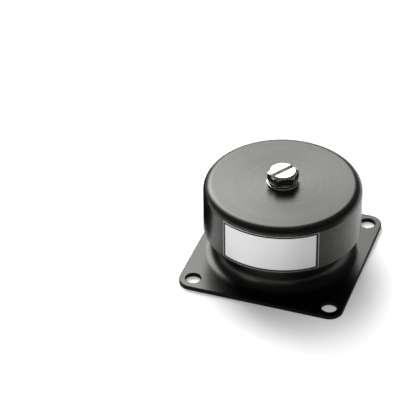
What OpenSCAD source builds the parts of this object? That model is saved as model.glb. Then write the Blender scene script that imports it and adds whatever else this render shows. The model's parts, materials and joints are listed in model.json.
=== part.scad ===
// Plate-mounted rubber vibration isolator: a cap on a rubber-sprung core, over a drawn square base.
// Origin: centre of the base plate's underside. +Z points up through the load bolt.
// The core, the cap and all that is fixed to them bob along Z against the rubber element.

/* [Base plate] */
// Side length of the square plate
plate_side = 60; // [58:0.5:80]
// Sheet thickness of the base, plate and pot alike
sheet_t = 1.6; // [1.2:0.1:2]
// Corner radius of the plate, in plan
plate_corner_r = 5; // [2:0.5:8]
// Distance of a fixing hole's middle from both edges of its corner
hole_margin = 5; // [4.5:0.5:6]
// Diameter of a fixing hole, for an M5 screw
hole_d = 5.5; // [4:0.1:6.5]

/* [Base pot] */
// Outer diameter of the pot drawn up from the plate
pot_d = 45; // [43.5:0.5:46]
// Height of the pot's crown above the plate's underside
pot_h = 22; // [20.5:0.5:23]
// Outer bend radius where the plate turns up into the pot
foot_r = 5; // [3.5:0.5:5.5]
// Outer bend radius at the pot's crown
crown_r = 3; // [2.5:0.5:4]
// Diameter of the mouth in the crown
mouth_d = 28; // [26:0.5:30]

/* [Cap] */
// Outer diameter of the cap
cap_d = 56; // [54.5:0.5:60]
// Height of the cap, rim to top
cap_h = 18.5; // [17.5:0.1:20]
// Height of the cap's rim above the plate's underside at rest
cap_rim_z = 13.5; // [12.5:0.1:15]
// Wall thickness of the cap's skirt
cap_wall = 1.5; // [1:0.1:1.8]
// Thickness of the cap's top
cap_top_t = 1.7; // [1.2:0.1:2.2]
// Radius of the cap's outer top edge
cap_edge_r = 3; // [2:0.1:4]
// Radius inside the cap, under the top edge
cap_inner_r = 1.5; // [1:0.1:2.5]
// Radius on the rim's outer edge
cap_rim_r = 0.3; // [0.1:0.1:0.5]
// Radial clearance of the load bolt in the cap's hole
bolt_hole_gap = 0.2; // [0.1:0.05:0.5]

/* [Label] */
// Width of the label, measured along the cap's curve
label_w = 35.6; // [20:0.2:44]
// Bare wall left under the label
label_foot_margin = 0.4; // [0.2:0.1:4]
// Reach of the label over the start of the rounded top edge
label_lap = 0.5; // [0:0.1:0.8]
// Thickness of the label's foil
label_t = 0.2; // [0.1:0.05:0.4]
// Direction that the label's middle faces, from +X
label_turn = -83; // [-180:1:180]

/* [Load bolt] */
// Nominal thread diameter of the load bolt, M6
bolt_d = 6; // [5:0.5:6.5]
// Length of the load bolt under its head
bolt_l = 14; // [10:0.5:16]
// Hexagon width across flats
head_af = 9.8; // [9:0.1:11]
// Height of the hexagon head
head_h = 3.3; // [3:0.1:4.5]
// Diameter of the flat top left inside the head's chamfer
head_top_d = 8.7; // [8:0.1:9.6]
// Width of the screwdriver slot
slot_w = 1.4; // [1:0.1:1.8]
// Depth of the screwdriver slot
slot_depth = 1.4; // [0.8:0.1:1.8]
// Turn of the hexagon about the bolt's axis
head_turn = 27; // [0:1:59]
// Chamfer on the tip of each screw
tip_chamfer = 0.6; // [0.3:0.1:1]

/* [Load washers] */
// Outer diameter of the flat washer
washer_d = 11.5; // [11:0.5:14]
// Thickness of the flat washer
washer_t = 0.8; // [0.6:0.1:1.6]
// Outer diameter of the spring washer
spring_washer_d = 11; // [10:0.2:11.4]
// Thickness of the spring washer
spring_washer_t = 1; // [0.8:0.1:1.6]
// Width of the slit through the spring washer
spring_washer_slit = 0.5; // [0.3:0.1:1]
// Lean of that slit from the bolt's axis
spring_washer_lean = 25; // [0:1:35]
// Direction of the slit, from +X
spring_washer_turn = -100; // [-180:1:180]
// Radial clearance of both washers round the bolt
washer_gap = 0.2; // [0.1:0.05:0.4]

/* [Core] */
// Diameter of the core
core_d = 14; // [12:0.5:16]
// Diameter of the flange that carries the cap
core_flange_d = 21; // [19:0.5:24]
// Thickness of that flange
core_flange_t = 2; // [1.5:0.1:2.5]
// Radius under the flange
core_fillet_r = 1.5; // [0.5:0.1:2]

/* [Rubber element] */
// Wall of the steel sleeve bonded round the rubber
sleeve_t = 1.2; // [0.8:0.1:1.6]
// Inner diameter of the sleeve's bottom flange
sleeve_mouth_d = 26; // [24:0.5:28]
// Height of the rubber where it is bonded to the sleeve
rubber_outer_h = 6.3; // [5:0.1:7]
// Height of the rubber where it is bonded to the core
rubber_inner_h = 8.5; // [7:0.1:9.5]
// Rise of the rubber's underside from the sleeve to the core
rubber_rise = 3; // [2:0.1:3.6]
// Width of the rubber's foot on the sleeve's flange
rubber_foot_w = 3; // [2:0.1:4]
// Radius where the rubber runs out on the core
rubber_root_r = 1.2; // [0.6:0.1:2]
// Adhesive between the rubber and the core
bond_t = 0.05; // [0.03:0.01:0.1]

/* [Retaining ring] */
// Thickness of the snap ring under the sleeve
snap_t = 1.2; // [1:0.1:1.5]
// Radial width of the snap ring
snap_w = 2.6; // [2.2:0.1:3]
// Depth of the snap ring's groove in the pot's wall
snap_groove = 0.6; // [0.4:0.1:0.8]
// Angle left open between the snap ring's ends
snap_open = 30; // [15:1:60]
// Diameter of the plier holes in the snap ring's lugs
snap_hole_d = 1.5; // [1:0.1:1.8]
// Wall left round those holes
snap_lug_wall = 0.9; // [0.6:0.1:1.1]

/* [Travel stops] */
// Downward travel until the cap meets the bump ring
travel_down = 4; // [3:0.1:4.4]
// Upward travel until the rebound pad meets the sleeve
travel_up = 2; // [1.5:0.1:2.4]
// Air left at each stop
stop_gap = 0.1; // [0.05:0.05:0.3]
// Height that the lowest piece keeps over the floor at full downward travel
floor_gap = 0.6; // [0.4:0.1:1]
// Radial width of the bump ring
bump_w = 3.8; // [3:0.1:4.4]
// Radius on the bump ring's upper edges
bump_edge_r = 1.2; // [0.5:0.1:1.6]
// Bare margin between the bump ring and the pot's mouth
bump_margin = 0.7; // [0.3:0.1:1.2]
// Diameter of the rebound washer
rebound_d = 34; // [32:0.5:35]
// Sheet thickness of the rebound washer
rebound_t = 1.6; // [1.2:0.1:2]
// Depth of the dish in the rebound washer
dish_depth = 2.8; // [2.6:0.1:3.4]
// Diameter of the dish's flat bottom
dish_d = 17; // [16:0.5:18]
// Radial run of the dish's sloping wall
dish_slope = 2; // [1.5:0.1:2.5]
// Thickness of the rubber pad on the rebound washer
pad_t = 1.5; // [1:0.1:2]
// Radial width of that pad
pad_w = 4; // [3:0.1:4.6]
// Bare margin between the pad and the rebound washer's edge
pad_margin = 0.5; // [0:0.1:1]
// Radius on the pad's upper edges
pad_edge_r = 0.5; // [0.2:0.1:0.6]
// Diameter of the pan head under the core
pan_d = 11; // [10:0.5:12]
// Height of that pan head
pan_h = 2.4; // [2:0.1:2.6]
// Radius on the pan head's edge
pan_edge_r = 0.9; // [0.5:0.1:1.2]
// Length of the pan-head screw under its head
pan_l = 8; // [6:0.5:9]

/* [Hidden] */
$fn = 96;

// Overshoot of a cutting solid past the face that it opens
cut = 1;
// Slope of a hexagon head's chamfer
head_chamfer_angle = 30;
// Angle from a hexagon's corner to the middle of the next flat
hex_half_angle = 30;

pot_r = pot_d / 2;
pot_bore_r = pot_r - sheet_t;
cap_r = cap_d / 2;
cap_top_z = cap_rim_z + cap_h;
cap_under_z = cap_top_z - cap_top_t;
bolt_r = bolt_d / 2;

washer_top_z = cap_top_z + washer_t;
head_seat_z = washer_top_z + spring_washer_t;
head_corner_r = head_af / 2 / cos(hex_half_angle);

rebound_z = travel_down + floor_gap;
dish_z = rebound_z + dish_depth;
core_foot_z = dish_z + rebound_t;
pad_z = rebound_z + rebound_t;
sleeve_z = pad_z + pad_t + travel_up + stop_gap;
sleeve_top_z = pot_h - crown_r;
sleeve_floor_z = sleeve_z + sleeve_t;
sleeve_bore_r = pot_bore_r - sleeve_t;
rubber_bore_r = core_d / 2 + bond_t;

bump_h = cap_under_z - travel_down - stop_gap - pot_h;
bump_in_r = mouth_d / 2 + bump_margin;
label_arc = label_w / cap_r * 180 / PI;

// Rectangle with its two upper corners rounded
module crowned_bar(w, h, r) {
    intersection() {
        square([w, h]);
        union() {
            square([w, h - r]);
            translate([r, 0]) square([w - 2 * r, h]);
            translate([r, h - r]) circle(r = r);
            translate([w - r, h - r]) circle(r = r);
        }
    }
}

// Half section of a cup standing mouth down, its outer top edge rounded
module cup_section(r, h, edge_r) {
    union() {
        square([r - edge_r, h]);
        square([r, h - edge_r]);
        translate([r - edge_r, h - edge_r]) circle(r = edge_r);
    }
}

// Outline of the plate with its rounded corners
module plate_outline() {
    half = plate_side / 2 - plate_corner_r;
    union() {
        square([plate_side, 2 * half], center = true);
        square([2 * half, plate_side], center = true);
        for (x = [-half, half], y = [-half, half]) translate([x, y]) circle(r = plate_corner_r);
    }
}

// Half section of a solid pot that stands on z = 0 and flares at its foot, down to z = foot_z
module pot_section(r, h, top_r, flare_r, foot_z) {
    union() {
        cup_section(r, h, top_r);
        translate([r, 0]) difference() {
            square([flare_r, foot_z + flare_r]);
            translate([flare_r, foot_z + flare_r]) circle(r = flare_r);
        }
    }
}

// Square plate and pot, pressed from one sheet
module base_housing() {
    hole_at = plate_side / 2 - hole_margin;
    color("#1c1c1b") difference() {
        union() {
            linear_extrude(height = sheet_t) plate_outline();
            rotate_extrude() pot_section(pot_r, pot_h, crown_r, foot_r, sheet_t);
        }
        rotate_extrude() pot_section(pot_bore_r, pot_h - sheet_t, crown_r - sheet_t, foot_r + sheet_t, 0);
        cylinder(d = mouth_d, h = pot_h + cut);
        for (x = [-1, 1], y = [-1, 1]) {
            translate([x * hole_at, y * hole_at, -cut]) cylinder(d = hole_d, h = sheet_t + 2 * cut);
        }
        translate([0, 0, sleeve_z - snap_t]) cylinder(r = pot_bore_r + snap_groove, h = snap_t);
    }
}

// Steel sleeve with an inward flange, pressed up into the pot as far as its crown bend
module outer_sleeve() {
    color("#8b8d8c") rotate_extrude() difference() {
        translate([sleeve_mouth_d / 2, sleeve_z]) square([pot_bore_r - sleeve_mouth_d / 2, sleeve_top_z - sleeve_z]);
        translate([0, sleeve_floor_z]) square([sleeve_bore_r, pot_h]);
    }
}

// Snap ring in the pot's groove, under the sleeve, with two lugs for pliers
module retaining_ring() {
    ring_r = pot_bore_r + snap_groove;
    lug_r = snap_hole_d / 2 + snap_lug_wall;
    lug_turn = snap_open / 2 + asin(lug_r / ring_r);
    hole_x = ring_r - snap_groove - lug_r;
    color("#6f7170") translate([0, 0, sleeve_z - snap_t]) linear_extrude(height = snap_t) difference() {
        union() {
            difference() {
                circle(r = ring_r);
                circle(r = ring_r - snap_w);
                polygon([[0, 0], for (side = [-1, 1]) ring_r * 2 * [cos(snap_open / 2), side * sin(snap_open / 2)]]);
            }
            for (side = [-1, 1]) rotate(side * lug_turn) translate([hole_x, 0]) circle(r = lug_r);
        }
        for (side = [-1, 1]) rotate(side * lug_turn) translate([hole_x, 0]) circle(d = snap_hole_d);
    }
}

// Rubber ring on the pot's crown, which the cap meets at full load
module bump_ring() {
    color("#161616") rotate_extrude() translate([bump_in_r, pot_h]) crowned_bar(bump_w, bump_h, bump_edge_r);
}

// Coned rubber ring, bonded to the sleeve outside and to the core inside
module rubber_element() {
    inner_z = sleeve_floor_z + rubber_rise;
    inner_top_z = inner_z + rubber_inner_h;
    root_x = rubber_bore_r + rubber_root_r;
    color("#242423") rotate_extrude() difference() {
        polygon([
            [sleeve_bore_r, sleeve_floor_z],
            [sleeve_bore_r, sleeve_floor_z + rubber_outer_h],
            [root_x, inner_top_z - rubber_root_r],
            [root_x, inner_top_z],
            [rubber_bore_r, inner_top_z],
            [rubber_bore_r, inner_z],
            [root_x, inner_z],
            [root_x, inner_z + rubber_root_r],
            [sleeve_bore_r - rubber_foot_w, sleeve_floor_z]
        ]);
        translate([root_x, inner_top_z]) circle(r = rubber_root_r);
        translate([root_x, inner_z]) circle(r = rubber_root_r);
    }
}

// Threaded core that carries the cap, with a flange at its head
module core_bush() {
    flange_z = cap_under_z - core_flange_t;
    shaft_r = core_d / 2;
    color("#a9aaa6") rotate_extrude() union() {
        translate([bolt_r, core_foot_z]) square([shaft_r - bolt_r, cap_under_z - core_foot_z]);
        translate([bolt_r, flange_z]) square([core_flange_d / 2 - bolt_r, core_flange_t]);
        translate([shaft_r, flange_z - core_fillet_r]) difference() {
            square(core_fillet_r);
            translate([core_fillet_r, 0]) circle(r = core_fillet_r);
        }
    }
}

// Dished washer under the core, which keeps it from being pulled out of the base
module rebound_washer() {
    hole_r = bolt_r + washer_gap;
    rim_r = rebound_d / 2;
    dish_r = dish_d / 2;
    fold = rebound_t * tan(atan2(dish_depth, dish_slope) / 2);
    color("#8b8d8c") rotate_extrude() polygon([
        [hole_r, dish_z],
        [dish_r, dish_z],
        [dish_r + dish_slope, rebound_z],
        [rim_r, rebound_z],
        [rim_r, pad_z],
        [dish_r + dish_slope + fold, pad_z],
        [dish_r + fold, core_foot_z],
        [hole_r, core_foot_z]
    ]);
}

// Rubber ring on the rebound washer, which meets the sleeve's flange
module rebound_pad() {
    color("#161616") rotate_extrude() {
        translate([rebound_d / 2 - pad_margin - pad_w, pad_z]) crowned_bar(pad_w, pad_t, pad_edge_r);
    }
}

// Screw shank hanging from the origin, its tip chamfered
module shank(l) {
    rotate_extrude() polygon([
        [0, 0],
        [bolt_r, 0],
        [bolt_r, tip_chamfer - l],
        [bolt_r - tip_chamfer, -l],
        [0, -l]
    ]);
}

// Screwdriver slot across a head whose top lies at the origin
module slot(head_w) {
    translate([-head_w, -slot_w / 2, -slot_depth]) cube([2 * head_w, slot_w, slot_depth + cut]);
}

// Slotted pan-head screw that holds the rebound washer to the core from below
module rebound_screw() {
    color("#b9bab6") translate([0, 0, dish_z]) mirror([0, 0, 1]) union() {
        difference() {
            rotate_extrude() cup_section(pan_d / 2, pan_h, pan_edge_r);
            translate([0, 0, pan_h]) slot(pan_d);
        }
        shank(pan_l);
    }
}

// Turned cap, an upside-down cup that shrouds the pot
module cap() {
    color("#4b4b48") translate([0, 0, cap_rim_z]) rotate_extrude() difference() {
        cup_section(cap_r, cap_h, cap_edge_r);
        cup_section(cap_r - cap_wall, cap_h - cap_top_t, cap_inner_r);
        square([bolt_r + bolt_hole_gap, cap_h + cut]);
        translate([cap_r - cap_rim_r, 0]) difference() {
            square(cap_rim_r);
            translate([0, cap_rim_r]) circle(r = cap_rim_r);
        }
    }
}

// Thin metal label wrapped round the cap's skirt
module label_plate() {
    foot_z = cap_rim_z + cap_rim_r + label_foot_margin;
    head_z = cap_top_z - cap_edge_r + label_lap;
    color("#d6d6d4") rotate([0, 0, label_turn - label_arc / 2]) rotate_extrude(angle = label_arc) {
        translate([cap_r, foot_z]) square([label_t, head_z - foot_z]);
    }
}

// Ring for the load bolt, resting on the plane z = 0
module load_ring(d, t) {
    difference() {
        cylinder(d = d, h = t);
        translate([0, 0, -cut]) cylinder(r = bolt_r + washer_gap, h = t + 2 * cut);
    }
}

// Plain washer on the cap
module flat_washer() {
    color("#b4b5b1") translate([0, 0, cap_top_z]) load_ring(washer_d, washer_t);
}

// Spring washer under the bolt's head, split by a leaning slit
module spring_washer() {
    color("#a3a4a0") translate([0, 0, washer_top_z]) difference() {
        load_ring(spring_washer_d, spring_washer_t);
        rotate([0, 0, spring_washer_turn]) translate([0, 0, spring_washer_t / 2]) rotate([spring_washer_lean, 0, 0]) {
            translate([0, -spring_washer_slit / 2, -spring_washer_d]) {
                cube([spring_washer_d, spring_washer_slit, 2 * spring_washer_d]);
            }
        }
    }
}

// Slotted hexagon bolt that clamps the load to the cap and threads into the core
module load_bolt() {
    chamfer_r = head_corner_r + cut;
    chamfer_z = head_h - (chamfer_r - head_top_d / 2) * tan(head_chamfer_angle);
    color("#c9c9c4") translate([0, 0, head_seat_z]) rotate([0, 0, head_turn]) union() {
        difference() {
            intersection() {
                cylinder(r = head_corner_r, h = head_h, $fn = 6);
                rotate_extrude() polygon([
                    [0, 0],
                    [chamfer_r, 0],
                    [chamfer_r, chamfer_z],
                    [head_top_d / 2, head_h],
                    [0, head_h]
                ]);
            }
            translate([0, 0, head_h]) rotate([0, 0, hex_half_angle]) slot(head_af);
        }
        shank(bolt_l);
    }
}

base_housing();
outer_sleeve();
retaining_ring();
bump_ring();
rubber_element();
core_bush();
rebound_washer();
rebound_pad();
rebound_screw();
cap();
label_plate();
flat_washer();
spring_washer();
load_bolt();
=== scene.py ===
import json
from math import asin, atan2, ceil, cos, hypot, pi, radians, sin, tan

import bmesh
import bpy
from mathutils import Matrix, Vector
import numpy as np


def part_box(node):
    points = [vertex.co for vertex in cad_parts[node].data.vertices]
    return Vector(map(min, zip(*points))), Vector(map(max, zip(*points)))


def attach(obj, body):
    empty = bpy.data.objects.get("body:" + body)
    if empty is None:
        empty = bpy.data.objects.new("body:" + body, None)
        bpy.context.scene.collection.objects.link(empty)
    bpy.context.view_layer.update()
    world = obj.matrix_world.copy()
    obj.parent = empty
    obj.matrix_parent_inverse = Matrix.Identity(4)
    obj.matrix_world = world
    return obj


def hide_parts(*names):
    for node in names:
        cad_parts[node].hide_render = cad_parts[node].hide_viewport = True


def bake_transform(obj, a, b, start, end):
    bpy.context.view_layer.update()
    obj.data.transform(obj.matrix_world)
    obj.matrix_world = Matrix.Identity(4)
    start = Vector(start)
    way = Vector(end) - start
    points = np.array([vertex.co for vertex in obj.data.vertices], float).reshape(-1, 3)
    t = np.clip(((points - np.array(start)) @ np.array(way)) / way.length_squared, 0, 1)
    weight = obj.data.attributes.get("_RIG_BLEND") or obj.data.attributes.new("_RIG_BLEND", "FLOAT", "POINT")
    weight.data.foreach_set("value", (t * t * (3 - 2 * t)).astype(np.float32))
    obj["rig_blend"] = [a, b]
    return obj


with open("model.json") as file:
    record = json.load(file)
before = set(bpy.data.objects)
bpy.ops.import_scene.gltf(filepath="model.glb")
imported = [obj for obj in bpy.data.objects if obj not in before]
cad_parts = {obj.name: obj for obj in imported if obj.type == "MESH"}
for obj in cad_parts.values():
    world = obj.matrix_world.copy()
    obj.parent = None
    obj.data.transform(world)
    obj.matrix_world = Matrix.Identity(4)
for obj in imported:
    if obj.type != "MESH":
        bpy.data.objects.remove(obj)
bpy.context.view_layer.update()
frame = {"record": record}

# Lengths are millimetres up to the moment a mesh is finished, which turns them into metres.
# Values whose names end in _M are metres from the start.
MM = 0.001

# Camera
LENS_MM = 178.81
SENSOR_MM = 36.0
CAMERA_YAW = radians(19.71)
CAMERA_PITCH = radians(36.93)
CAMERA_ROLL = radians(-0.84)
CAMERA_DISTANCE_M = 0.71512
CAMERA_NEAR_M = 0.01
ORIGIN_RIGHT_M = 0.029427
ORIGIN_UP_M = -0.019306

# Studio. Bearings are degrees right of the camera's line, heights are degrees above the floor.
# Each has a low and a high end and the reach of its soft edge.
PANEL_LEVEL = 12.0
PANEL_BEARING = (-41, 5, 12)
PANEL_HEIGHT = (25, 58, 12)
HORIZON_FADE = (radians(6.5), radians(9))
ROOM_LEVEL = 0.1
FLOOR_SIDE_M = 40.0
FLOOR_COLOUR = (0.8, 0.8, 0.8, 1)
# The floor's glow is dimmer near the object's middle and rises between the two reaches: a painted shadow
# round the object.
FLOOR_GLOW_WITH_PAINTED_SHADOW = (0.27, 0.6)
PAINTED_SHADOW_REACH_M = (0.027, 0.053)
FLOOR_DROP_M = 0.00002

# Cards of the studio. A spot is the middle of a flat card or of an upright card's foot.
# Upright cards have a width and a height.
CARD_SPOT_M = (-0.0714, 0.0226, 0.0016)
FLAT_CARD_M = 0.07
UPRIGHT_CARD_M = (0.056, 0.03)
FLAG_SPOT_M = (0.07, -0.035, 0)
FLAG_M = (0.09, 0.03)
WHITE_SPOT_M = (-0.06, -0.1, 0)
WHITE_M = (0.05, 0.03)
WHITE_LEVEL = 2.5

# Materials. The second finish of a piece is for its cut, sawn or printed faces.
SECOND_FINISH = 1
WARM = (1.0, 0.985, 0.9, 1.0)
WANDER_SCALE = 60.0
WANDER_M = 0.0006

# Facets of round forms. Arcs of at least WIDE_ARC_FROM have the wide arc's step.
SIDES = 288
WIDE_ARC_STEP = radians(6)
EDGE_ARC_STEP = radians(23)
WIDE_ARC_FROM = 1.0

# Clean-up of meshes. At a vertex, a face turns the normal only if it has the leading share of the
# largest face there. Cutters reach past what they cut.
LEADING_SHARE = 0.6
MERGE_WITHIN = 1e-4
FLAT_WITHIN = radians(1)
SHARP_FROM = radians(20)
SHARP_EDGE_STEPS = 3
CUT_PAST = 1

# Base: one pressing of plate and pot
SHEET = 1.6
PLATE_CORNER_R = 5.0
PLATE_TOP_EDGE = 0.3
PLATE_FOOT_EDGE = 0.12
HOLE_TOP_EDGE = 0.25
HOLE_FOOT_EDGE = 0.1
POT_R = 22.5
FOOT_R = 5.0
CROWN_R = 3.0
MOUTH_R = 14.0
MOUTH_TOP_EDGE = 0.3
MOUTH_FOOT_EDGE = 0.2
GROOVE_DEPTH = 0.6
GROOVE_LIP = 0.05
GROOVE_CORNER_R = 0.1
CORNER_FROM = radians(25)
CORNER_COLUMNS = 32
STRAIGHT_COLUMNS = 8
PLATE_ROWS = 4
HOLE_ROWS = 3
QUARTER_TURNS = [Matrix.Rotation(q * pi / 2, 3, "Z") for q in range(4)]

# Cap
CAP_WALL = 1.5
CAP_TOP = 1.7
CAP_EDGE_R = 3.0
CAP_INNER_R = 1.5
CAP_RIM_R = 0.3
CAP_RIM_INNER_R = 0.2
CAP_HOLE_R = 3.2
CAP_HOLE_EDGE = 0.15

# Label
LABEL_T = 0.2
LABEL_ARC = radians(72.85)
LABEL_TURN = radians(-83)
LABEL_SILVER = 0.15
LABEL_SIDE_BORDER = 1.05
LABEL_TOP_BORDER = 0.85
LABEL_FOOT_BORDER = 0.9
LABEL_COLUMN_W = 0.6
LABEL_ROW_H = 2.4

# Load bolt and washers
BOLT_R = 3.0
HEAD_AF = 9.8
HEAD_TOP_R = 4.35
HEAD_CHAMFER = radians(30)
HEAD_TURN = radians(27)
HEAD_EDGE = 0.12
HEAD_FACETS = 60
SLOT_W = 1.6
SLOT_DEPTH = 1.4
SLOT_TURN = pi / 6
SLOT_MARGIN = 0.01
SLOT_END_FACING = 0.5
THREAD_PITCH = 1.0
THREAD_DEPTH = 0.6
THREAD_PROFILE = (1, 0.66, 0.33, 0, 0, 0.33, 0.66, 1)
THREAD_ROWS = len(THREAD_PROFILE)
THREAD_SIDES = 64
SHANK_BURIED = 0.3
WASHER_HOLE_R = 3.2
WASHER_HOLE_EDGE = 0.1
WASHER_TOP_EDGE = 0.2
WASHER_FOOT_EDGE = 0.08
SPRING_INNER_EDGE = 0.12
SPRING_OUTER_EDGE = 0.15
SPRING_RISE = 0.1
SPRING_GAP = 0.5
SPRING_LEAN = radians(25)
SPRING_TURN = radians(-100)

# Inner pieces
SLEEVE_T = 1.2
SLEEVE_MOUTH_R = 13.0
SLEEVE_EDGE = 0.2
SLEEVE_FOOT_R = 0.4
STOP_W = 3.8
STOP_EDGE_R = 1.2
STOP_FOOT_EDGE = 0.1
CORE_R = 7.0
CORE_FOOT_EDGE = 0.4
CORE_FLANGE_T = 2.0
CORE_FLANGE_EDGE = 0.3
CORE_FILLET_R = 1.5
RUBBER_BORE_R = 7.05
RUBBER_LIP = 0.15
RUBBER_LIP_EDGE = 0.05
RUBBER_ROOT_R = 1.2
RUBBER_OUTER_H = 6.3
RUBBER_RISE = 3.0
RUBBER_FOOT_W = 3.0
RUBBER_FOOT_EDGE = 0.5
DISH_SHEET = 1.6
DISH_R = 8.5
DISH_SLOPE = 2.0
DISH_BEND_R = 0.8
DISH_HOLE_EDGE = 0.1
DISH_RIM_TOP_EDGE = 0.3
DISH_RIM_FOOT_EDGE = 0.2
PAD_W = 4.0
PAD_EDGE_R = 0.5
PAN_EDGE_R = 0.9
SNAP_W = 2.6
SNAP_OPEN = radians(30)
SNAP_HOLE_R = 0.75
SNAP_LUG_R = 1.65
SNAP_GROOVE = 0.6
SNAP_LUG_SIDES = 64
SNAP_EDGE = 0.12


def node_size(node):
    """Half width, lowest point and highest point of a CAD node, in millimetres."""
    low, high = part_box(node)
    return max(high.x, high.y) / MM, low.z / MM, high.z / MM


def rounded(corners):
    """Outline through (x, y, radius) corners, each rounded by an arc of that radius."""
    outline = []
    for i, (x, y, radius) in enumerate(corners):
        corner = Vector((x, y))
        if not radius:
            outline.append(corner)
            continue
        back = (Vector(corners[i - 1][:2]) - corner).normalized()
        ahead = (Vector(corners[(i + 1) % len(corners)][:2]) - corner).normalized()
        half = back.angle(ahead) / 2
        centre = corner + (back + ahead).normalized() * radius / sin(half)
        start = corner + back * radius / tan(half) - centre
        sweep = pi - 2 * half
        step = WIDE_ARC_STEP if radius >= WIDE_ARC_FROM else EDGE_ARC_STEP
        steps = ceil(sweep / step)
        side = 1 if back.cross(ahead) < 0 else -1
        for k in range(steps + 1):
            outline.append(centre + Matrix.Rotation(side * sweep * k / steps, 2) @ start)
    return outline


def lathe(mesh, outline, closed=True, sides=SIDES):
    """Turns an outline of (radius, height) points round the Z axis. Those on it become poles."""
    rings = []
    for r, z in outline:
        count = sides if r > 0 else 1
        turns = [2 * pi * k / sides for k in range(count)]
        rings.append([mesh.verts.new((r * cos(a), r * sin(a), z)) for a in turns])
    following = rings[1:] + rings[:1] if closed else rings[1:]
    for lower, upper in zip(rings, following):
        for k in range(sides if len(lower) + len(upper) > 2 else 0):
            steps = ((lower, k), (lower, k + 1), (upper, k + 1), (upper, k))
            corners = [ring[step % len(ring)] for ring, step in steps]
            mesh.faces.new(list(dict.fromkeys(corners)))


def bridge(mesh, loops, finish=0):
    """Quads of one finish between neighbouring closed loops, which have as many points each."""
    rings = [[mesh.verts.new(p) for p in loop] for loop in loops]
    for lower, upper in zip(rings, rings[1:]):
        for k in range(len(lower)):
            m = (k + 1) % len(lower)
            mesh.faces.new([lower[k], lower[m], upper[m], upper[k]]).material_index = finish


def grid(mesh, rows):
    """Quads between neighbouring open rows of points."""
    lines = [[mesh.verts.new(p) for p in row] for row in rows]
    for lower, upper in zip(lines, lines[1:]):
        for k in range(len(lower) - 1):
            mesh.faces.new([lower[k], lower[k + 1], upper[k + 1], upper[k]])


def add_cone(mesh, sides, foot_r, top_r, height, middle):
    """Closed cone or prism round its middle, which is a matrix."""
    bmesh.ops.create_cone(mesh, cap_ends=True, segments=sides, radius1=foot_r, radius2=top_r,
                          depth=height, matrix=middle)


def even_normals(mesh):
    """A normal for each vertex from its large faces, so that flats stay flat beside round edges."""
    mesh.normal_update()
    areas = {face: face.calc_area() for face in mesh.faces}
    normals = []
    for vertex in mesh.verts:
        least = LEADING_SHARE * max(areas[face] for face in vertex.link_faces)
        leading = [face for face in vertex.link_faces if areas[face] >= least]
        normals.append(sum((face.normal * areas[face] for face in leading), Vector()).normalized())
    return normals


def piece(name, mesh, finishes, body, node):
    """Finishes a mesh as a piece of the object that rides on a body and stands for a CAD node."""
    bmesh.ops.remove_doubles(mesh, verts=mesh.verts, dist=MERGE_WITHIN)
    bmesh.ops.dissolve_degenerate(mesh, edges=mesh.edges, dist=MERGE_WITHIN)
    bmesh.ops.recalc_face_normals(mesh, faces=mesh.faces)
    normals = even_normals(mesh)
    data = bpy.data.meshes.new(name)
    mesh.to_mesh(data)
    mesh.free()
    data.shade_smooth()
    data.normals_split_custom_set_from_vertices(normals)
    data.transform(Matrix.Scale(MM, 4))
    for finish in finishes:
        data.materials.append(finish)
    obj = bpy.data.objects.new(name, data)
    bpy.context.scene.collection.objects.link(obj)
    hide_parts(node)
    if body:
        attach(obj, body)
    return obj


def scratch(mesh):
    """A throw-away object made from a mesh, for modifiers to work on or to read."""
    data = bpy.data.meshes.new("scratch")
    mesh.to_mesh(data)
    mesh.free()
    obj = bpy.data.objects.new("scratch", data)
    bpy.context.scene.collection.objects.link(obj)
    return obj


def discard(obj):
    """Removes a throw-away object with its mesh."""
    data = obj.data
    bpy.data.objects.remove(obj)
    bpy.data.meshes.remove(data)


def applied(mesh, modifiers):
    """The mesh after modifiers, each given as (kind, settings)."""
    obj = scratch(mesh)
    for kind, settings in modifiers:
        modifier = obj.modifiers.new(kind, kind)
        for key, value in settings.items():
            setattr(modifier, key, value)
    bpy.context.view_layer.update()
    result = bmesh.new()
    result.from_object(obj, bpy.context.evaluated_depsgraph_get())
    discard(obj)
    return result


def boolean(operation, obj):
    """Modifier that combines a mesh with a throw-away object."""
    return "BOOLEAN", {"operation": operation, "object": obj, "solver": "EXACT"}


def rounding(width):
    """Modifiers that clean up after a boolean and round each sharp edge."""
    return [
        ("WELD", {"merge_threshold": width / 3}),
        ("DECIMATE", {"decimate_type": "DISSOLVE", "angle_limit": FLAT_WITHIN}),
        ("BEVEL", {"width": width, "segments": SHARP_EDGE_STEPS, "limit_method": "ANGLE",
                   "angle_limit": SHARP_FROM, "use_clamp_overlap": False}),
    ]


# Materials


def new_material(name):
    """An empty material and its node tree."""
    made = bpy.data.materials.new(name)
    made.use_nodes = True
    made.node_tree.nodes.clear()
    return made, made.node_tree


def add(tree, kind, inputs=None, **settings):
    """A node with its settings. Each input is a plain value or another node's output."""
    made = tree.nodes.new(kind)
    for key, value in settings.items():
        setattr(made, key, value)
    for key, value in (inputs or {}).items():
        if isinstance(value, bpy.types.NodeSocket):
            tree.links.new(value, made.inputs[key])
        else:
            made.inputs[key].default_value = value
    return made


def maths(tree, operation, *values):
    """Output of a Math node."""
    return add(tree, "ShaderNodeMath", dict(enumerate(values)), operation=operation).outputs[0]


def added(tree, total, *values):
    """Sum of values."""
    for value in values:
        total = maths(tree, "ADD", total, value)
    return total


def weighted(tree, *parts):
    """Sum of (value, weight) parts."""
    return added(tree, *[maths(tree, "MULTIPLY", value, weight) for value, weight in parts])


def spread(tree, value, low, high):
    """A value from 0 to 1 taken to the range from low to high."""
    inputs = {"Value": value, "To Min": low, "To Max": high}
    return add(tree, "ShaderNodeMapRange", inputs, interpolation_type="LINEAR").outputs[0]


def between(tree, value, low, high):
    """0 below low, 1 above high, smooth in between."""
    inputs = {"Value": value, "From Min": low, "From Max": high}
    return add(tree, "ShaderNodeMapRange", inputs, interpolation_type="SMOOTHSTEP").outputs[0]


def place(tree):
    """Position on the piece, in metres."""
    return add(tree, "ShaderNodeTexCoord").outputs["Object"]


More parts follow.
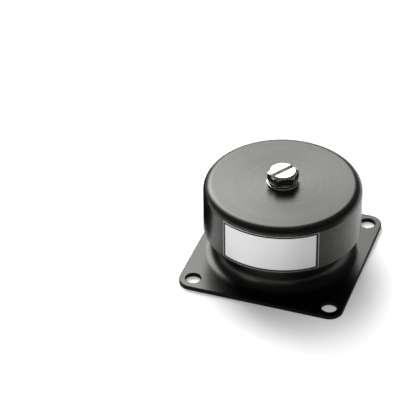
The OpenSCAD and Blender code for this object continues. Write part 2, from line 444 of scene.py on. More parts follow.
def turned_place(tree):
    """Distance from the axis, height and a slow wander, where noise turns into lathe rings."""
    where = place(tree)
    axes = add(tree, "ShaderNodeSeparateXYZ", {0: where}).outputs
    squares = [maths(tree, "POWER", axes[k], 2.0) for k in range(2)]
    wander = noise(tree, where, WANDER_SCALE, 1.0)
    return add(tree, "ShaderNodeCombineXYZ", {
        0: maths(tree, "SQRT", added(tree, *squares)),
        1: axes[2],
        2: maths(tree, "MULTIPLY", wander, WANDER_M),
    }).outputs[0]


def stretched(tree, vector, scale):
    """A position with its axes scaled apart."""
    inputs = {"Vector": vector, "Scale": scale}
    return add(tree, "ShaderNodeMapping", inputs).outputs[0]


def noise(tree, vector, scale, detail, rough=0.5):
    """Noise from 0 to 1; scale is in cycles a metre."""
    inputs = {"Vector": vector, "Scale": scale, "Detail": detail, "Roughness": rough}
    return add(tree, "ShaderNodeTexNoise", inputs).outputs["Fac"]


def mixed(tree, factor, first, second):
    """Colour between two, by a factor from 0 to 1."""
    inputs = {0: factor, 6: (*first, 1.0), 7: (*second, 1.0)}
    return add(tree, "ShaderNodeMix", inputs, data_type="RGBA").outputs[2]


def bumped(tree, height, depth_m):
    """Normal bent by a height from 0 to 1 over that depth."""
    inputs = {"Strength": 1.0, "Distance": depth_m, "Height": height}
    return add(tree, "ShaderNodeBump", inputs).outputs[0]


def material(name, build, **sockets):
    """A material with colour, roughness and normal from build(tree), and other sockets as given."""
    made, tree = new_material(name)
    colour, rough, normal = build(tree)
    inputs = {"Base Color": colour, "Roughness": rough, "Normal": normal}
    inputs.update({key.replace("_", " "): value for key, value in sockets.items()})
    if "Anisotropic" in inputs:
        tangent = add(tree, "ShaderNodeTangent", direction_type="RADIAL", axis="Z")
        inputs["Tangent"] = tangent.outputs[0]
    shader = add(tree, "ShaderNodeBsdfPrincipled", inputs)
    add(tree, "ShaderNodeOutputMaterial", {"Surface": shader.outputs[0]})
    return made


def turned_black(tree):
    """Black anodising over fine lathe rings."""
    rings = turned_place(tree)
    fine = noise(tree, rings, 5200.0, 3.0)
    broad = noise(tree, rings, 650.0, 2.0, 0.6)
    patches = noise(tree, place(tree), 90.0, 3.0)
    colour = mixed(tree, patches, (0.0026, 0.0026, 0.0024), (0.0044, 0.0043, 0.0040))
    rough = spread(tree, weighted(tree, (broad, 0.7), (patches, 0.3)), 0.22, 0.34)
    return colour, rough, bumped(tree, weighted(tree, (fine, 0.18), (broad, 1.0)), 0.000013)


def brushed_black(tree):
    """Black finish over the fine grain of rolled sheet."""
    where = place(tree)
    grain = noise(tree, stretched(tree, where, (1.0, 14.0, 1.0)), 420.0, 4.0, 0.62)
    speck = noise(tree, where, 5200.0, 3.0)
    patches = noise(tree, where, 75.0, 3.0)
    mottle = noise(tree, where, 1100.0, 3.0, 0.6)
    colour = mixed(tree, patches, (0.0018, 0.0018, 0.0016), (0.0030, 0.0029, 0.0027))
    uneven = weighted(tree, (grain, 0.5), (patches, 0.2), (mottle, 0.5))
    rough = spread(tree, uneven, 0.15, 0.45)
    return colour, rough, bumped(tree, weighted(tree, (grain, 0.5), (speck, 1.0)), 0.0000026)


def cut_black(tree):
    """The same black finish over the rougher cut edges of the sheet."""
    where = place(tree)
    torn = noise(tree, where, 2600.0, 4.0, 0.6)
    colour = mixed(tree, torn, (0.0016, 0.0016, 0.0015), (0.0032, 0.0031, 0.0029))
    return colour, spread(tree, torn, 0.45, 0.6), bumped(tree, torn, 0.000006)


def bright_plate(tree):
    """Bright nickel plate with faint waviness and handling marks."""
    where = place(tree)
    wave = noise(tree, where, 900.0, 2.0)
    marks = noise(tree, stretched(tree, where, (1.0, 6.0, 3.0)), 2500.0, 4.0, 0.7)
    colour = mixed(tree, marks, (0.50, 0.49, 0.465), (0.60, 0.59, 0.56))
    rough = spread(tree, marks, 0.06, 0.26)
    return colour, rough, bumped(tree, wave, 0.000012)


def milled_slot(tree):
    """Rough floor and walls of a sawn slot, with the saw's marks across them."""
    where = place(tree)
    cuts = noise(tree, stretched(tree, where, (1.0, 1.0, 3.0)), 4200.0, 3.0, 0.65)
    colour = mixed(tree, cuts, (0.36, 0.356, 0.343), (0.68, 0.672, 0.65))
    return colour, spread(tree, cuts, 0.30, 0.44), bumped(tree, cuts, 0.00003)


def satin_foil(tree):
    """Label foil with upright brushing."""
    where = place(tree)
    brushed = noise(tree, stretched(tree, where, (12.0, 12.0, 1.0)), 300.0, 4.0, 0.65)
    colour = mixed(tree, brushed, (0.60, 0.60, 0.596), (0.68, 0.68, 0.676))
    rough = spread(tree, brushed, 0.32, 0.46)
    return colour, rough, bumped(tree, brushed, 0.0000012)


def label_ink(tree):
    """Matt black print."""
    speck = noise(tree, place(tree), 3000.0, 3.0)
    colour = mixed(tree, speck, (0.005, 0.005, 0.005), (0.010, 0.010, 0.010))
    return colour, spread(tree, speck, 0.40, 0.52), bumped(tree, speck, 0.000001)


def zinc_steel(tree):
    """Zinc-plated steel with turning rings."""
    rings = turned_place(tree)
    fine = noise(tree, rings, 3800.0, 3.0)
    patches = noise(tree, place(tree), 160.0, 4.0, 0.6)
    colour = mixed(tree, patches, (0.40, 0.40, 0.385), (0.56, 0.555, 0.53))
    return colour, spread(tree, patches, 0.26, 0.42), bumped(tree, fine, 0.000004)


def phosphated_steel(tree):
    """Dark phosphated spring steel."""
    where = place(tree)
    crystals = noise(tree, where, 4200.0, 4.0, 0.7)
    colour = mixed(tree, crystals, (0.055, 0.056, 0.056), (0.10, 0.101, 0.10))
    return colour, spread(tree, crystals, 0.42, 0.6), bumped(tree, crystals, 0.000004)


def moulded_rubber(tree):
    """Black rubber with the fine satin skin of its mould."""
    where = place(tree)
    skin = noise(tree, where, 3600.0, 5.0, 0.6)
    bloom = noise(tree, where, 120.0, 4.0, 0.6)
    colour = mixed(tree, bloom, (0.016, 0.016, 0.016), (0.030, 0.030, 0.029))
    return colour, spread(tree, bloom, 0.5, 0.68), bumped(tree, skin, 0.00001)


# Base


def quadrant(inset, half):
    """Points along the plate's +X side and the corner after it, at an inset from its outline."""
    side_columns = SIDES // 4 - CORNER_COLUMNS
    slopes = [tan(-CORNER_FROM + 2 * CORNER_FROM * k / side_columns) for k in range(side_columns)]
    points = [(half - inset, half * slope) for slope in slopes]
    bend = half - PLATE_CORNER_R
    low = half * tan(CORNER_FROM)
    rise = (bend - low) / STRAIGHT_COLUMNS
    points += [(half - inset, low + rise * k) for k in range(STRAIGHT_COLUMNS)]
    radius = PLATE_CORNER_R - inset
    arc_columns = CORNER_COLUMNS - 2 * STRAIGHT_COLUMNS
    turns = [pi / 2 * k / arc_columns for k in range(arc_columns)]
    points += [(bend + radius * cos(a), bend + radius * sin(a)) for a in turns]
    points += [(bend - rise * k, half - inset) for k in range(STRAIGHT_COLUMNS)]
    return points


def whole_outline(inset, half, z):
    """The plate's outline as one closed loop of points at a height."""
    return [turn @ Vector((x, y, z)) for turn in QUARTER_TURNS for x, y in quadrant(inset, half)]


def edge_loops(top, foot, top_edge, foot_edge):
    """(inset, height) pairs down a wall whose two edges are rounded."""
    steps = ceil(pi / 2 / EDGE_ARC_STEP)
    turns = [pi / 2 * k / steps for k in range(steps + 1)]
    upper = [(top_edge * (1 - sin(a)), top - top_edge * (1 - cos(a))) for a in turns]
    lower = [(foot_edge * (1 - cos(a)), foot + foot_edge * (1 - sin(a))) for a in turns]
    return upper + lower


def plate_face(mesh, half, hole_at, hole_r, inset, z):
    """One flat face of the plate, between the pot's foot, the outline and the four holes.

    Returns the rim of the first hole, from its middle."""
    foot_r = POT_R + FOOT_R
    outer = quadrant(inset, half)
    outer.append((-outer[0][1], outer[0][0]))
    turns = [-CORNER_FROM + 2 * pi * k / SIDES for k in range(len(outer))]
    inner = [(foot_r * cos(a), foot_r * sin(a)) for a in turns]
    rows = [
        [Vector((*a, z)).lerp(Vector((*b, z)), row / PLATE_ROWS) for a, b in zip(inner, outer)]
        for row in range(PLATE_ROWS + 1)
    ]
    corner = len(outer) - 1 - CORNER_COLUMNS
    surround = rows[0][corner:-1] + [row[-1] for row in rows[:-1]]
    surround += rows[-1][:corner:-1] + [row[corner] for row in rows[:0:-1]]
    middle = Vector((hole_at, hole_at, z))
    hole = [middle + (p - middle).normalized() * hole_r for p in surround]
    rings = [
        [a.lerp(b, row / HOLE_ROWS) for a, b in zip(hole, surround)]
        for row in range(HOLE_ROWS + 1)
    ]
    for turn in QUARTER_TURNS:
        grid(mesh, [[turn @ p for p in row[:corner + 1]] for row in rows])
        bridge(mesh, [[turn @ p for p in ring] for ring in rings])
    return [p - middle for p in hole]


def base_shell(finishes):
    """Square plate drawn up into the pot, as one pressing. Its cut edges get the second finish."""
    half, floor, crown = node_size("base_housing")
    dims = frame["record"]["mounts"][0]["dims"]
    hole_at, hole_r = dims["spacing_x_mm"] / 2, dims["hole_r_mm"]
    groove_foot, groove_top = node_size("retaining_ring")[1:]
    deck = floor + SHEET
    bore = POT_R - SHEET
    mesh = bmesh.new()
    lathe(mesh, rounded([
        (POT_R + FOOT_R, deck, 0),
        (POT_R, deck, FOOT_R),
        (POT_R, crown, CROWN_R),
        (MOUTH_R, crown, MOUTH_TOP_EDGE),
        (MOUTH_R, crown - SHEET, MOUTH_FOOT_EDGE),
        (bore, crown - SHEET, CROWN_R - SHEET),
        (bore, groove_top, GROOVE_LIP),
        (bore + GROOVE_DEPTH, groove_top, GROOVE_CORNER_R),
        (bore + GROOVE_DEPTH, groove_foot, GROOVE_CORNER_R),
        (bore, groove_foot, GROOVE_LIP),
        (bore, floor, FOOT_R + SHEET),
        (POT_R + FOOT_R, floor, 0),
    ]), closed=False)
    bmesh.ops.rotate(mesh, verts=mesh.verts, matrix=Matrix.Rotation(-CORNER_FROM, 3, "Z"))
    wall = edge_loops(deck, floor, PLATE_TOP_EDGE, PLATE_FOOT_EDGE)
    bridge(mesh, [whole_outline(inset, half, z) for inset, z in wall], SECOND_FINISH)
    upper_rim = plate_face(mesh, half, hole_at, hole_r + HOLE_TOP_EDGE, PLATE_TOP_EDGE, deck)
    lower_rim = plate_face(mesh, half, hole_at, hole_r + HOLE_FOOT_EDGE, PLATE_FOOT_EDGE, floor)
    hole_loops = []
    for inset, z in edge_loops(deck, floor, HOLE_TOP_EDGE, HOLE_FOOT_EDGE):
        share = (deck - z) / SHEET
        middle = Vector((hole_at, hole_at, z))
        outward = [a.lerp(b, share).normalized() for a, b in zip(upper_rim, lower_rim)]
        hole_loops.append([middle + out * (hole_r + inset) for out in outward])
    for turn in QUARTER_TURNS:
        bridge(mesh, [[turn @ p for p in loop] for loop in hole_loops], SECOND_FINISH)
    return piece("base_shell", mesh, finishes, "base", "base_housing")


# Turned and moulded pieces


def turned_piece(name, node, corners, finish, body):
    """A closed ring, turned from its outline."""
    mesh = bmesh.new()
    lathe(mesh, rounded(corners))
    return piece(name, mesh, [finish], body, node)


def cap_shell(finish):
    """Turned cup, mouth down, over the pot."""
    r, rim, top = node_size("cap")
    return turned_piece("cap_shell", "cap", [
        (CAP_HOLE_R, top, CAP_HOLE_EDGE),
        (r, top, CAP_EDGE_R),
        (r, rim, CAP_RIM_R),
        (r - CAP_WALL, rim, CAP_RIM_INNER_R),
        (r - CAP_WALL, top - CAP_TOP, CAP_INNER_R),
        (CAP_HOLE_R, top - CAP_TOP, CAP_HOLE_EDGE),
    ], finish, "cap")


def washer_ring(name, node, finish):
    """Punched washer: its upper edges are rolled over more than its lower ones."""
    r, foot, top = node_size(node)
    return turned_piece(name, node, [
        (WASHER_HOLE_R, top, WASHER_HOLE_EDGE),
        (r, top, WASHER_TOP_EDGE),
        (r, foot, WASHER_FOOT_EDGE),
        (WASHER_HOLE_R, foot, WASHER_FOOT_EDGE),
    ], finish, "cap")


# Label


def breaks(marks, step):
    """The marks, with even steps added between them that are no longer than step."""
    values = []
    for a, b in zip(marks, marks[1:]):
        count = max(1, ceil((b - a) / step))
        values += [a + (b - a) * k / count for k in range(count)]
    return values + [marks[-1]]


def label_sheet(foil, ink):
    """Curved foil with a black printed border inside a thin silver margin."""
    foot, top = node_size("label_plate")[1:]
    inner_r = node_size("cap")[0]
    outer_r = inner_r + LABEL_T
    width = LABEL_ARC * inner_r
    across = [0, LABEL_SILVER, LABEL_SIDE_BORDER]
    across += [width - margin for margin in reversed(across)]
    up = [foot, foot + LABEL_SILVER, foot + LABEL_FOOT_BORDER]
    up += [top - LABEL_TOP_BORDER, top - LABEL_SILVER, top]
    columns, rows = breaks(across, LABEL_COLUMN_W), breaks(up, LABEL_ROW_H)
    mesh = bmesh.new()

    def bent_face(corners):
        """A face through corners given by their way across, height and radius."""
        points = []
        for s, z, radius in corners:
            turn = LABEL_TURN + (s - width / 2) / inner_r
            points.append((radius * cos(turn), radius * sin(turn), z))
        return mesh.faces.new([mesh.verts.new(p) for p in points])

    for low, high in zip(rows, rows[1:]):
        for a, b in zip(columns, columns[1:]):
            corners = [(a, low), (b, low), (b, high), (a, high)]
            front = bent_face([(s, z, outer_r) for s, z in corners])
            bent_face([(s, z, inner_r) for s, z in reversed(corners)])
            s, z = (a + b) / 2, (low + high) / 2
            printed = across[1] < s < across[4] and up[1] < z < up[4]
            clear = across[2] < s < across[3] and up[2] < z < up[3]
            front.material_index = SECOND_FINISH if printed and not clear else 0
    for a, b in zip(columns, columns[1:]):
        for z in (foot, top):
            bent_face([(a, z, inner_r), (b, z, inner_r), (b, z, outer_r), (a, z, outer_r)])
    for low, high in zip(rows, rows[1:]):
        for s in (0, width):
            ends = [(low, inner_r), (high, inner_r), (high, outer_r), (low, outer_r)]
            bent_face([(s, z, radius) for z, radius in ends])
    return piece("label_sheet", mesh, [foil, ink], "cap", "label_plate")


# Bolt and spring washer


def threaded_shank(mesh, top, foot):
    """Screw thread from top down to foot, as one strip that winds round and meets itself."""
    root_r = BOLT_R - THREAD_DEPTH
    count = int((top - foot) / THREAD_PITCH * THREAD_ROWS) + THREAD_ROWS
    step = THREAD_PITCH / THREAD_ROWS

    def point(i, j):
        """Point of row i and column j. The thread fades out over its first and last pitch."""
        turn = 2 * pi * j / THREAD_SIDES
        z = foot - THREAD_PITCH + i * step + THREAD_PITCH * j / THREAD_SIDES
        fade = min(1, max(0, (z - foot) / THREAD_PITCH), max(0, (top - z) / THREAD_PITCH))
        r = root_r + THREAD_DEPTH * fade * THREAD_PROFILE[i % THREAD_ROWS]
        return r * cos(turn), r * sin(turn), min(top, max(foot, z))

    rows = [
        [mesh.verts.new(point(i, j)) for j in range(THREAD_SIDES + 1)]
        for i in range(count + 1)
    ]
    for lower, upper in zip(rows, rows[1:]):
        for j in range(THREAD_SIDES):
            corners = [lower[j], lower[j + 1], upper[j + 1], upper[j]]
            # Past the ends the strip is flattened to a line, which needs no face.
            if len({tuple(round(c, 5) for c in v.co) for v in corners}) > 2:
                mesh.faces.new(corners)


def screw_shank(mesh, seat, tip):
    """Thread from the head's seat to the tip, with a plain end and a plain neck inside the head."""
    side = 1 if tip > seat else -1
    root_r = BOLT_R - THREAD_DEPTH
    neck, end = seat + side * THREAD_PITCH / 2, tip - side * THREAD_PITCH / 2
    threaded_shank(mesh, max(neck, end), min(neck, end))
    buried = seat - side * SHANK_BURIED
    for start, stop in ((end, tip), (neck, buried)):
        outline = [(root_r, start), (root_r, stop), (0, stop)]
        lathe(mesh, outline, closed=False, sides=THREAD_SIDES)


def slotted(head, face_z, slot_turn, cutter_length, shape=None):
    """A screw head with its edges rounded and a slot in the face at that height.

    The head is first cut to a shape, if one is given. The slot's faces get the second finish."""
    size = Matrix.Diagonal((cutter_length, SLOT_W, 2 * SLOT_DEPTH, 1))
    spot = Matrix.Rotation(slot_turn, 4, "Z") @ Matrix.Translation((0, 0, face_z))
    slot = bmesh.new()
    bmesh.ops.create_cube(slot, size=1, matrix=spot @ size)
    cuts = [("INTERSECT", scratch(shape))] if shape else []
    cuts.append(("DIFFERENCE", scratch(slot)))
    result = applied(head, [boolean(*cut) for cut in cuts] + rounding(HEAD_EDGE))
    for operation, obj in cuts:
        discard(obj)
    back = Matrix.Rotation(-slot_turn, 3, "Z")
    for face in result.faces:
        middle, facing = back @ face.calc_center_median(), back @ face.normal
        beside = abs(middle.y) < SLOT_W / 2 + SLOT_MARGIN
        below = abs(middle.z - face_z) < SLOT_DEPTH + SLOT_MARGIN
        sideways = abs(facing.x) < SLOT_END_FACING
        face.material_index = SECOND_FINISH if beside and below and sideways else 0
    return result


def hex_head(height):
    """Chamfered hexagon with a screwdriver slot across it, standing on z = 0."""
    corner_r = HEAD_AF / 2 / cos(pi / 6)
    head = bmesh.new()
    add_cone(head, 6, corner_r, corner_r, height,
             Matrix.Translation((0, 0, height / 2)) @ Matrix.Rotation(pi / 6, 4, "Z"))
    reach = height + CUT_PAST
    chamfer = bmesh.new()
    add_cone(chamfer, HEAD_FACETS, HEAD_TOP_R + reach / tan(HEAD_CHAMFER), HEAD_TOP_R, reach,
             Matrix.Translation((0, 0, height - reach / 2)))
    return slotted(head, height, SLOT_TURN, 4 * HEAD_AF, chamfer)


def load_bolt(finishes):
    """Slotted hexagon bolt with a threaded shank."""
    foot, top = node_size("load_bolt")[1:]
    seat = node_size("spring_washer")[2]
    mesh = hex_head(top - seat)
    bmesh.ops.rotate(mesh, verts=mesh.verts, matrix=Matrix.Rotation(HEAD_TURN, 3, "Z"))
    bmesh.ops.translate(mesh, verts=mesh.verts, vec=(0, 0, seat))
    screw_shank(mesh, seat, foot)
    return piece("slotted_bolt", mesh, finishes, "cap", "load_bolt")


def split_washer(finish):
    """Spring washer: one turn of square section that climbs a little, with leaning ends."""
    r, foot, top = node_size("spring_washer")
    thick = top - foot - SPRING_RISE
    middle_r = (r + WASHER_HOLE_R) / 2
    section = rounded([
        (WASHER_HOLE_R, 0, SPRING_INNER_EDGE),
        (r, 0, SPRING_OUTER_EDGE),
        (r, thick, SPRING_OUTER_EDGE),
        (WASHER_HOLE_R, thick, SPRING_INNER_EDGE),
    ])
    sweep = 2 * pi - SPRING_GAP / middle_r
    columns = SIDES // 2
    loops = []
    for k in range(columns + 1):
        share = k / columns
        start = SPRING_TURN + SPRING_GAP / 2 / middle_r + sweep * share
        loop = []
        for q, z in section:
            turn = start - (z - thick / 2) * tan(SPRING_LEAN) / middle_r
            loop.append((q * cos(turn), q * sin(turn), foot + SPRING_RISE * share + z))
        loops.append(loop)
    mesh = bmesh.new()
    bridge(mesh, loops)
    for loop in (loops[0], loops[-1]):
        mesh.faces.new([mesh.verts.new(p) for p in loop])
    return piece("split_washer", mesh, [finish], "cap", "spring_washer")


# Inner pieces


def pan_screw(finishes):
    """Slotted pan-head screw under the dished washer, pointing up."""
    r, foot, top = node_size("rebound_screw")
    seat = node_size("rebound_washer")[2] - DISH_SHEET
    head = bmesh.new()
    outline = rounded([(0, seat, 0), (r, seat, 0), (r, foot, PAN_EDGE_R), (0, foot, 0)])
    lathe(head, outline, sides=HEAD_FACETS * 2)
    mesh = slotted(head, foot, 0, 4 * r)
    screw_shank(mesh, seat, top)
    return piece("pan_screw", mesh, finishes, "cap", "rebound_screw")


def sleeve_shell(finish):
    """Steel sleeve with an inward flange at its foot."""
    r, foot, top = node_size("outer_sleeve")
    return turned_piece("sleeve_shell", "outer_sleeve", [
        (SLEEVE_MOUTH_R, foot, SLEEVE_EDGE),
        (r, foot, SLEEVE_FOOT_R),
        (r, top, SLEEVE_EDGE),
        (r - SLEEVE_T, top, SLEEVE_EDGE),
        (r - SLEEVE_T, foot + SLEEVE_T, SLEEVE_EDGE),
        (SLEEVE_MOUTH_R, foot + SLEEVE_T, SLEEVE_EDGE),
    ], finish, "base")


def stop_ring(name, node, width, edge_r, finish, body):
    """Moulded stop: a ring with rounded upper edges."""
    r, foot, top = node_size(node)
    return turned_piece(name, node, [
        (r - width, foot, STOP_FOOT_EDGE),
        (r, foot, STOP_FOOT_EDGE),
        (r, top, edge_r),
        (r - width, top, edge_r),
    ], finish, body)


def core_body(finish):
    """Core with the flange that carries the cap."""
    r, foot, top = node_size("core_bush")
    return turned_piece("core_body", "core_bush", [
        (BOLT_R, foot, 0),
        (CORE_R, foot, CORE_FOOT_EDGE),
        (CORE_R, top - CORE_FLANGE_T, CORE_FILLET_R),
        (r, top - CORE_FLANGE_T, CORE_FLANGE_EDGE),
        (r, top, CORE_FLANGE_EDGE),
        (BOLT_R + THREAD_DEPTH, top, 0),
        (BOLT_R, top - THREAD_DEPTH, 0),
    ], finish, "cap")


def rebound_dish(finish):
    """Dished washer under the core."""
    r, foot, top = node_size("rebound_washer")
    dish = top - DISH_SHEET
    fold = DISH_SHEET * tan(atan2(dish - foot, DISH_SLOPE) / 2)
    return turned_piece("rebound_dish", "rebound_washer", [
        (WASHER_HOLE_R, dish, DISH_HOLE_EDGE),
        (DISH_R, dish, DISH_BEND_R),
        (DISH_R + DISH_SLOPE, foot, DISH_BEND_R),
        (r, foot, DISH_RIM_FOOT_EDGE),
        (r, foot + DISH_SHEET, DISH_RIM_TOP_EDGE),
        (DISH_R + DISH_SLOPE + fold, foot + DISH_SHEET, DISH_BEND_R),
        (DISH_R + fold, top, DISH_BEND_R),
        (WASHER_HOLE_R, top, DISH_HOLE_EDGE),
    ], finish, "cap")


def rubber_cone(finish):
    """Coned rubber ring that shears between its outer part, in the sleeve, and its bore."""
    r, foot, top = node_size("rubber_element")
    lip = RUBBER_BORE_R + RUBBER_LIP
    inner_foot = foot + RUBBER_RISE
    mesh = bmesh.new()
    lathe(mesh, rounded([
        (r - RUBBER_FOOT_W, foot, RUBBER_FOOT_EDGE),
        (r, foot, 0),
        (r, foot + RUBBER_OUTER_H, 0),
        (lip, top - RUBBER_ROOT_R, RUBBER_ROOT_R),
        (lip, top, RUBBER_LIP_EDGE),
        (RUBBER_BORE_R, top, 0),
        (RUBBER_BORE_R, inner_foot, 0),
        (lip, inner_foot, RUBBER_LIP_EDGE),
        (lip, inner_foot + RUBBER_ROOT_R, RUBBER_ROOT_R),
    ]))
    cone = piece("rubber_cone", mesh, [finish], None, "rubber_element")
    fixed_r = r - RUBBER_FOOT_W
    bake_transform(cone, "base", "cap", start=(fixed_r * MM, 0, 0), end=(RUBBER_BORE_R * MM, 0, 0))
    # The blend works along one line. On a ring, a point's share goes by its distance from the axis.
    for vertex, share in zip(cone.data.vertices, cone.data.attributes["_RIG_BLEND"].data):
        out = hypot(vertex.co.x, vertex.co.y) / MM
        share.value = min(1, max(0, (fixed_r - out) / (fixed_r - RUBBER_BORE_R)))
    return cone


def snap_ring(finish):
    """Open spring ring with a plier hole in a lug at each end."""
    r, foot, top = node_size("retaining_ring")
    ring, gap, lugs, holes = (bmesh.new() for _ in range(4))
    lathe(ring, rounded([
        (r - SNAP_W, foot, SNAP_EDGE),
        (r, foot, SNAP_EDGE),
        (r, top, SNAP_EDGE),
        (r - SNAP_W, top, SNAP_EDGE),
    ]))
    wedge = [(0, 0)] + [(2 * r * cos(a), 2 * r * sin(a)) for a in (-SNAP_OPEN / 2, SNAP_OPEN / 2)]
    bridge(gap, [[(x, y, z) for x, y in wedge] for z in (foot - CUT_PAST, top + CUT_PAST)])
    bmesh.ops.holes_fill(gap, edges=gap.edges)
    lug_turn = SNAP_OPEN / 2 + asin(SNAP_LUG_R / r)
    inward = Matrix.Translation((r - SNAP_GROOVE - SNAP_LUG_R, 0, 0))
    for side in (-1, 1):
        spot = Matrix.Rotation(side * lug_turn, 4, "Z") @ inward
        lug = bmesh.new()
        lathe(lug, rounded([
            (0, foot, 0),
            (SNAP_LUG_R, foot, SNAP_EDGE),
            (SNAP_LUG_R, top, SNAP_EDGE),
            (0, top, 0),
        ]), closed=False, sides=SNAP_LUG_SIDES)
        lug.transform(spot)
        data = bpy.data.meshes.new("lug")
        lug.to_mesh(data)
        lug.free()
        lugs.from_mesh(data)
        bpy.data.meshes.remove(data)
        add_cone(holes, SNAP_LUG_SIDES // 2, SNAP_HOLE_R, SNAP_HOLE_R, 4 * (top - foot),
                 spot @ Matrix.Translation((0, 0, foot)))
    for mesh in (gap, ring, lugs):
        bmesh.ops.recalc_face_normals(mesh, faces=mesh.faces)
    cuts = list(zip(("DIFFERENCE", "UNION", "DIFFERENCE"), map(scratch, (gap, lugs, holes))))
    mesh = applied(ring, [boolean(*cut) for cut in cuts])
    for operation, obj in cuts:
        discard(obj)
    return piece("snap_ring", mesh, [finish], "base", "retaining_ring")


# Stage


def place_camera():
    """Camera at the photograph's angle, with the object right of and below the middle."""
    level_right = Vector((cos(CAMERA_YAW), sin(CAMERA_YAW), 0))
    ahead = Vector((
        -sin(CAMERA_YAW) * cos(CAMERA_PITCH),
        cos(CAMERA_YAW) * cos(CAMERA_PITCH),
        -sin(CAMERA_PITCH),
    ))
    level_up = level_right.cross(ahead)
    right = level_right * cos(CAMERA_ROLL) + level_up * sin(CAMERA_ROLL)
    up = level_up * cos(CAMERA_ROLL) - level_right * sin(CAMERA_ROLL)
    spot = -ahead * CAMERA_DISTANCE_M - right * ORIGIN_RIGHT_M - up * ORIGIN_UP_M
    camera = bpy.data.objects.new("camera", bpy.data.cameras.new("camera"))
    camera.data.lens = LENS_MM
    camera.data.sensor_width = SENSOR_MM
    camera.data.clip_start = CAMERA_NEAR_M
    camera.matrix_world = Matrix((
        (right.x, up.x, -ahead.x, spot.x),
        (right.y, up.y, -ahead.y, spot.y),
        (right.z, up.z, -ahead.z, spot.z),
        (0, 0, 0, 1),
    ))
    bpy.context.scene.collection.objects.link(camera)
    bpy.context.scene.camera = camera


def flat_card(spot, side):
    """Corners of a square card that lies flat."""
    corners = ((-1, -1), (1, -1), (1, 1), (-1, 1))
    return [Vector(spot) + Vector((x, y, 0)) * side / 2 for x, y in corners]


def upright_card(spot, width, height):
    """Corners of a card that stands at a spot and faces the object."""
    foot, rise = Vector(spot), Vector((0, 0, height))
    across = Vector((-spot[1], spot[0], 0)).normalized() * width / 2
    return [foot - across, foot + across, foot + across + rise, foot - across + rise]


def stage_cards(name, cards, finish):
    """Cards as one object of the stage."""
    data = bpy.data.meshes.new(name)
    corners = [corner for card in cards for corner in card]
    data.from_pydata(corners, [], [range(first, first + 4) for first in range(0, len(corners), 4)])
    data.materials.append(finish)
    obj = bpy.data.objects.new(name, data)
    bpy.context.scene.collection.objects.link(obj)
    return obj


def pale_floor():
    """Plain white floor, clear from below. It glows for rays that see it, less near the object: a painted
    shadow round the object.
    """
    made, tree = new_material("floor_white")
    matt = add(tree, "ShaderNodeBsdfDiffuse", {"Color": FLOOR_COLOUR}).outputs[0]
    seen = add(tree, "ShaderNodeLightPath").outputs
    rays = ("Is Glossy Ray", "Is Transmission Ray", "Is Camera Ray")
    shown = added(tree, *[seen[ray] for ray in rays])
    # Glow weaker near the object's middle: a painted shadow on the floor round the object.
    away = add(tree, "ShaderNodeVectorMath", {0: place(tree)}, operation="LENGTH").outputs["Value"]
    level = spread(tree, between(tree, away, *PAINTED_SHADOW_REACH_M), *FLOOR_GLOW_WITH_PAINTED_SHADOW)
    strength = maths(tree, "MULTIPLY", shown, level)
    glow = add(tree, "ShaderNodeEmission", {"Strength": strength}).outputs[0]
    front = add(tree, "ShaderNodeAddShader", {0: matt, 1: glow}).outputs[0]
    clear = add(tree, "ShaderNodeBsdfTransparent").outputs[0]
    under = add(tree, "ShaderNodeNewGeometry").outputs["Backfacing"]
    shader = add(tree, "ShaderNodeMixShader", {0: under, 1: front, 2: clear})
    add(tree, "ShaderNodeOutputMaterial", {"Surface": shader.outputs[0]})
    floor = stage_cards("floor", [flat_card((0, 0, 0), FLOOR_SIDE_M)], made)
    floor.location.z = -FLOOR_DROP_M


def glossy_cards(name, cards, level):
    """Cards that only glossy rays see, so that they shape the gloss alone. Level 0 is black."""
    made, tree = new_material(name)
    shader = add(tree, "ShaderNodeEmission", {"Strength": level})
    add(tree, "ShaderNodeOutputMaterial", {"Surface": shader.outputs[0]})
    obj = stage_cards(name, cards, made)
    for ray in ("camera", "diffuse", "transmission", "shadow"):
        setattr(obj, "visible_" + ray, False)


def window(tree, angle, low, high, soft):
    """1 between two angles, falling softly to 0 outside them. Its limits are in degrees."""
    rise = between(tree, angle, radians(low - soft), radians(low + soft))
    fall = between(tree, angle, radians(high - soft), radians(high + soft))
    return maths(tree, "SUBTRACT", rise, fall)


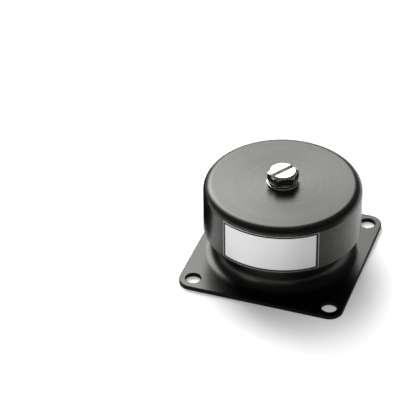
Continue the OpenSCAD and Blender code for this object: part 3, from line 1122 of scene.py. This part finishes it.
def studio_light():
    """World light: a soft panel behind and left of the object, a white horizon and a dim room."""
    world = bpy.data.worlds.new("studio")
    bpy.context.scene.world = world
    world.use_nodes = True
    tree = world.node_tree
    tree.nodes.clear()
    direction = add(tree, "ShaderNodeTexCoord").outputs["Generated"]
    inputs = {"Vector": direction, "Rotation": (0, 0, -CAMERA_YAW)}
    turned = add(tree, "ShaderNodeMapping", inputs, vector_type="POINT").outputs[0]
    axes = add(tree, "ShaderNodeSeparateXYZ", {0: turned}).outputs
    bearing = maths(tree, "ARCTAN2", axes[0], axes[1])
    height = maths(tree, "ARCSINE", axes[2])
    windows = [window(tree, bearing, *PANEL_BEARING), window(tree, height, *PANEL_HEIGHT)]
    panel = maths(tree, "MULTIPLY", *windows)
    horizon = maths(tree, "SUBTRACT", 1.0, between(tree, height, *HORIZON_FADE))
    panel_light = maths(tree, "MULTIPLY", panel, PANEL_LEVEL - ROOM_LEVEL)
    horizon_light = maths(tree, "MULTIPLY", horizon, 1 - ROOM_LEVEL)
    level = added(tree, panel_light, ROOM_LEVEL, horizon_light)
    background = add(tree, "ShaderNodeBackground", {"Color": (1, 1, 1, 1), "Strength": level})
    add(tree, "ShaderNodeOutputWorld", {"Surface": background.outputs[0]})


place_camera()
pale_floor()
glossy_cards("dark_cards", [
    flat_card(CARD_SPOT_M, FLAT_CARD_M),
    upright_card(CARD_SPOT_M, *UPRIGHT_CARD_M),
    upright_card(FLAG_SPOT_M, *FLAG_M),
], 0)
glossy_cards("white_card", [upright_card(WHITE_SPOT_M, *WHITE_M)], WHITE_LEVEL)
studio_light()

cap_black = material("turned_black", turned_black, Anisotropic=0.6, Anisotropic_Rotation=0.25,
                     Specular_Tint=WARM, Specular_IOR_Level=0.4)
base_black = material("brushed_black", brushed_black, Specular_Tint=WARM, Specular_IOR_Level=0.37)
edge_black = material("cut_black", cut_black, Specular_Tint=WARM, Specular_IOR_Level=0.12)
nickel = material("bright_plate", bright_plate, Metallic=1.0)
milled = material("milled_slot", milled_slot, Metallic=1.0)
foil = material("satin_foil", satin_foil, Metallic=0.85)
ink = material("label_ink", label_ink, Specular_IOR_Level=0.25)
zinc = material("zinc_steel", zinc_steel, Metallic=1.0)
phosphated = material("phosphated_steel", phosphated_steel, Metallic=0.6)
rubber = material("moulded_rubber", moulded_rubber)

base_shell([base_black, edge_black])
cap_shell(cap_black)
label_sheet(foil, ink)
washer_ring("plain_washer", "flat_washer", nickel)
split_washer(nickel)
load_bolt([nickel, milled])
sleeve_shell(zinc)
core_body(zinc)
rebound_dish(zinc)
pan_screw([nickel, milled])
snap_ring(phosphated)
stop_ring("bump_stop", "bump_ring", STOP_W, STOP_EDGE_R, rubber, "base")
stop_ring("rebound_stop", "rebound_pad", PAD_W, PAD_EDGE_R, rubber, "cap")
rubber_cone(rubber)

bpy.context.scene.view_settings.view_transform = "Standard"
bpy.context.view_layer.update()
